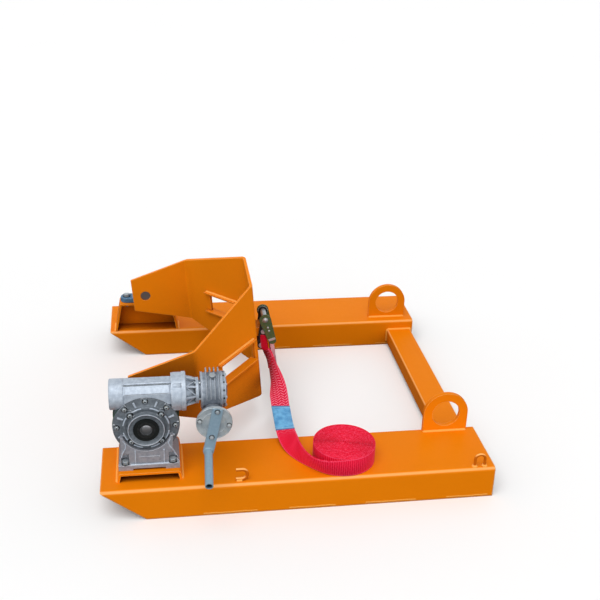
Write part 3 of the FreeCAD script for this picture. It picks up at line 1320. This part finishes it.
def report_strap():
    """Print the strap's length, its least gap to itself and its volume against section times length."""
    section = STRAP_WIDTH * STRAP_THICKNESS
    coiled = sum(math.pi * radius for radius, _, _ in coil_half_turns())
    places = [centre for centre, _, _ in strap_stations()]
    free = sum((b - a).Length for a, b in zip(places, places[1:]))
    gaps = []
    rings = coil_half_turns()
    for (radius, y, side), (next_radius, next_y, _) in zip(rings, rings[2:]):
        for degree in range(0, 181, 15):
            angle = math.radians(degree)
            point = Vector(side * radius * math.sin(angle), y + radius * math.cos(angle), 0)
            gaps.append(next_radius - (point - Vector(0, next_y, 0)).Length - STRAP_THICKNESS)
    print("strap coiled %.0f mm, free %.0f mm, least gap between turns %.2f mm" % (coiled, free, min(gaps)))
    print("coil radii %.2f to %.2f mm" % (rings[0][0], rings[-1][0]))
    print("coil volume %.0f, section times length %.0f" % (PIECES["strap_coil"].Volume, section * coiled))
    loop = math.pi * (LOOP_INNER + LOOP_OUTER)
    print("tail volume %.0f, section times length %.0f" % (PIECES["strap_tail"].Volume, section * (free + loop)))


FRONT_SHAFT_END = CASE_MIDDLE - HUB_HALF + SHAFT_RECESS
REAR_SHAFT_END = PILLOW_Y + INSERT_WIDTH / 2 + SHAFT_RECESS
FRONT_BRIDGE = (PIVOT_X + FOOT_OFFSET, FRONT_BRIDGE_TOP, FRONT_BRIDGE_FOOT, FRONT_BRIDGE_HEIGHT, FRONT_BRIDGE_START,
                FRONT_BRIDGE_DEPTH, foot_bolt_places())
REAR_BRIDGE = (PIVOT_X, REAR_BRIDGE_TOP, REAR_BRIDGE_FOOT, REAR_BRIDGE_HEIGHT, REAR_SLEEVE_Y + REAR_BRIDGE_INSET,
               REAR_BRIDGE_DEPTH, pillow_bolt_places())

PIECES = {
    "front_sleeve": sleeve_channel(0),
    "rear_sleeve": sleeve_channel(REAR_SLEEVE_Y),
    "front_sleeve_floor": sleeve_floor(0),
    "rear_sleeve_floor": sleeve_floor(REAR_SLEEVE_Y),
    "front_nose_plate": nose_plate(0),
    "rear_nose_plate": nose_plate(REAR_SLEEVE_Y),
    "crossbeam": crossbeam(),
    "front_lug": lug(SLEEVE_WIDTH - FRONT_LUG_INSET),
    "rear_lug": lug(REAR_SLEEVE_Y + REAR_LUG_INSET),
    "stow_hook": stow_hook(),
    "stow_eye": stow_eye(),
    "front_bridge": bridge(*FRONT_BRIDGE),
    "rear_bridge": bridge(*REAR_BRIDGE),
    "gearbox_case": gearbox_case(),
    "gearbox_front_cover": gearbox_cover(-1),
    "gearbox_rear_cover": gearbox_cover(1),
    "gearbox_cover_bolts": cover_bolts(),
    "gearbox_seals": hub_seals(),
    "gearbox_foot_bolts": through_bolts(foot_bolt_places(), FOOT_PLANE + FOOT_THICKNESS,
                                        FOOT_THICKNESS + BRIDGE_PLATE),
    "wheel_bearings": wheel_bearings(),
    "barrel_end_cap": barrel_end_cap(),
    "worm_bearings": worm_bearings(),
    "adapter_bell": adapter_bell(),
    "adapter_bolts": bell_bolts(),
    "small_case": small_case(),
    "small_cover": small_cover(),
    "small_cover_bolts": small_cover_bolts(),
    "oil_plug": oil_plug(),
    "input_cover": input_cover(),
    "input_bearings": input_bearings(),
    "pillow_block": pillow_block(),
    "insert_bearing": insert_bearing(),
    "pillow_bolts": through_bolts(pillow_bolt_places(), PIVOT_Z - PILLOW_CENTRE + PILLOW_BASE,
                                  PILLOW_BASE + BRIDGE_PLATE),
    "cradle_plate": cradle_plate(),
    "upper_strap_guides": strap_guides(WINDOW_TOP),
    "lower_strap_guides": strap_guides(WINDOW_BOTTOM - GUIDE_THICKNESS),
    "front_boss": shaft_boss(-1),
    "rear_boss": shaft_boss(1),
    "front_stub_shaft": stub_shaft(-1, FRONT_SHAFT_END).cut(key_block(SPIN_CLEARANCE)),
    "rear_stub_shaft": stub_shaft(1, REAR_SHAFT_END),
    "shaft_key": key_block(0),
    "worm_wheel_hub": wheel_hub(),
    "worm_wheel_rim": wheel_rim(),
    "worm_shaft": worm_shaft(),
    "small_worm_wheel": small_wheel(),
    "input_shaft": small_worm(),
    "crank_disc": crank_disc(),
    "crank_bolts": crank_bolts(),
    "crank_arm": crank_arm(),
    "crank_handle": crank_handle(),
    "ratchet_bracket": ratchet_bracket(),
    "ratchet_frame": ratchet_frame(),
    "ratchet_bars": ratchet_bars(),
    "ratchet_spool": ratchet_spool(),
    "ratchet_lever": ratchet_lever(),
    "ratchet_grip": ratchet_grip(),
    "ratchet_pawl": ratchet_pawl(),
    "strap_tail": strap_tail(),
    "strap_coil": strap_coil(),
}

# Every piece is moved so that the origin is the middle of the whole object's footprint, on the floor
WHOLE = Part.makeCompound(list(PIECES.values())).optimalBoundingBox(False)
ORIGIN = Vector((WHOLE.XMin + WHOLE.XMax) / 2, (WHOLE.YMin + WHOLE.YMax) / 2, WHOLE.ZMin)
os.makedirs("parts", exist_ok=True)
for name, piece in PIECES.items():
    if not piece.isValid():
        print("not valid:", name)
    moved = piece.copy()
    moved.translate(ORIGIN * -1)
    moved.exportStep("parts/%s.step" % name)
report_strap()
print("origin %.4f %.4f %.4f" % (ORIGIN.x, ORIGIN.y, ORIGIN.z))
print("size %.1f %.1f %.1f" % (WHOLE.XLength, WHOLE.YLength, WHOLE.ZLength))
for label, y, centre in (("spool", FRAME_MIDDLE, on_spool(0)), ("anchor", FRAME_MIDDLE, on_anchor(0))):
    place = leaned_point(centre.x, y, centre.z) - ORIGIN
    print(label, "%.4f %.4f %.4f" % (place.x, place.y, place.z))
print("pieces", len(PIECES))
